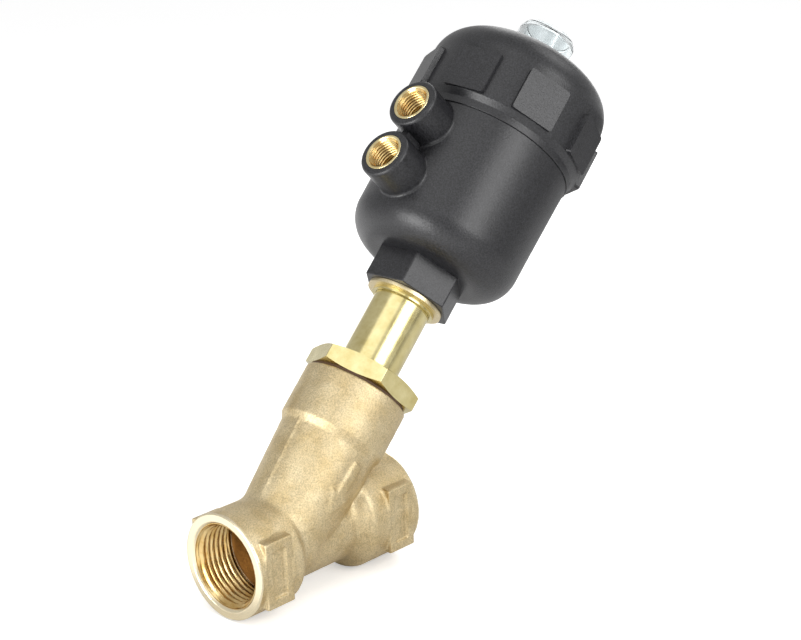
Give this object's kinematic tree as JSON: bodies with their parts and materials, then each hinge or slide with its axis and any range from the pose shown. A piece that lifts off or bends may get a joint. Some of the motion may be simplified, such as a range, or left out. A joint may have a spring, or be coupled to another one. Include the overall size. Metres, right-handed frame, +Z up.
{
  "type": "pneumatic angle seat valve",
  "caption": "Bronze Y-pattern angle seat valve with female pipe threads, a brass bonnet tube and a spring-closed black plastic piston actuator with a clear position window.",
  "frame": {"origin": "on the pipe axis at the face of the inlet port", "axes": "+X along the pipe from inlet to outlet, +Z up, the stem axis leans 45 degrees from +X towards +Z"},
  "size_m": [0.2047, 0.0816, 0.2013],
  "materials": {
    "cast_bronze": "sand cast and blasted, machined faces",
    "turned_brass": "fine turned, satin",
    "plated_brass": "dull plated",
    "stainless": "turned",
    "spring_steel": "drawn and zinc plated",
    "black_plastic": "moulded glass-filled polyamide, satin",
    "black_rubber": "moulded",
    "ptfe": "filled fluoropolymer, machined",
    "graphite": "pressed gasket sheet",
    "red_plastic": "moulded",
    "clear_plastic": "clear moulded polycarbonate, polished"
  },
  "bodies": {
    "valve": {"valve_body": "cast_bronze", "bonnet": "turned_brass", "bonnet_gasket": "graphite", "packing_support": "stainless", "gland_spring": "stainless", "gland_washer": "stainless", "packing_rings": "ptfe", "stem_guide": "ptfe", "stem_wiper": "black_rubber", "gland_clip": "stainless", "thrust_ring": "turned_brass", "thrust_washer": "plated_brass", "housing_clip": "stainless"},
    "actuator": {"return_spring": "spring_steel", "lower_housing": "black_plastic", "tube_o_ring": "black_rubber", "housing_o_ring": "black_rubber", "pilot_insert_low": "turned_brass", "pilot_insert_high": "turned_brass", "cap": "black_plastic", "spring_plate": "stainless", "window_o_ring": "black_rubber", "indicator_window": "clear_plastic"},
    "stem": {"spindle": "stainless", "piston": "black_plastic", "piston_seal": "black_rubber", "piston_guide_band": "ptfe", "piston_o_ring": "black_rubber", "piston_washer": "stainless", "piston_nut": "stainless", "indicator_pin": "red_plastic"},
    "plug": {"plug": "stainless", "seat_seal": "ptfe", "seal_washer": "stainless", "seal_nut": "stainless", "plug_clip": "stainless"}
  },
  "joints": [
    {"name": "actuator_turn", "type": "hinge", "parent": "valve", "child": "actuator", "pos_m": [0.10764, 0, 0.08344], "axis": [0.7071, 0, 0.7071], "continuous": true},
    {"name": "stem_lift", "type": "slide", "parent": "valve", "child": "stem", "axis": [0.7071, 0, 0.7071], "range_m": [0, 0.01], "stiffness_N_per_m": 2000, "springref_m": -0.01, "deforming": ["return_spring"]},
    {"name": "plug_swivel", "type": "hinge", "parent": "stem", "child": "plug", "pos_m": [0.03834, 0, 0.01414], "axis": [0.7071, 0, 0.7071], "continuous": true}
  ]
}
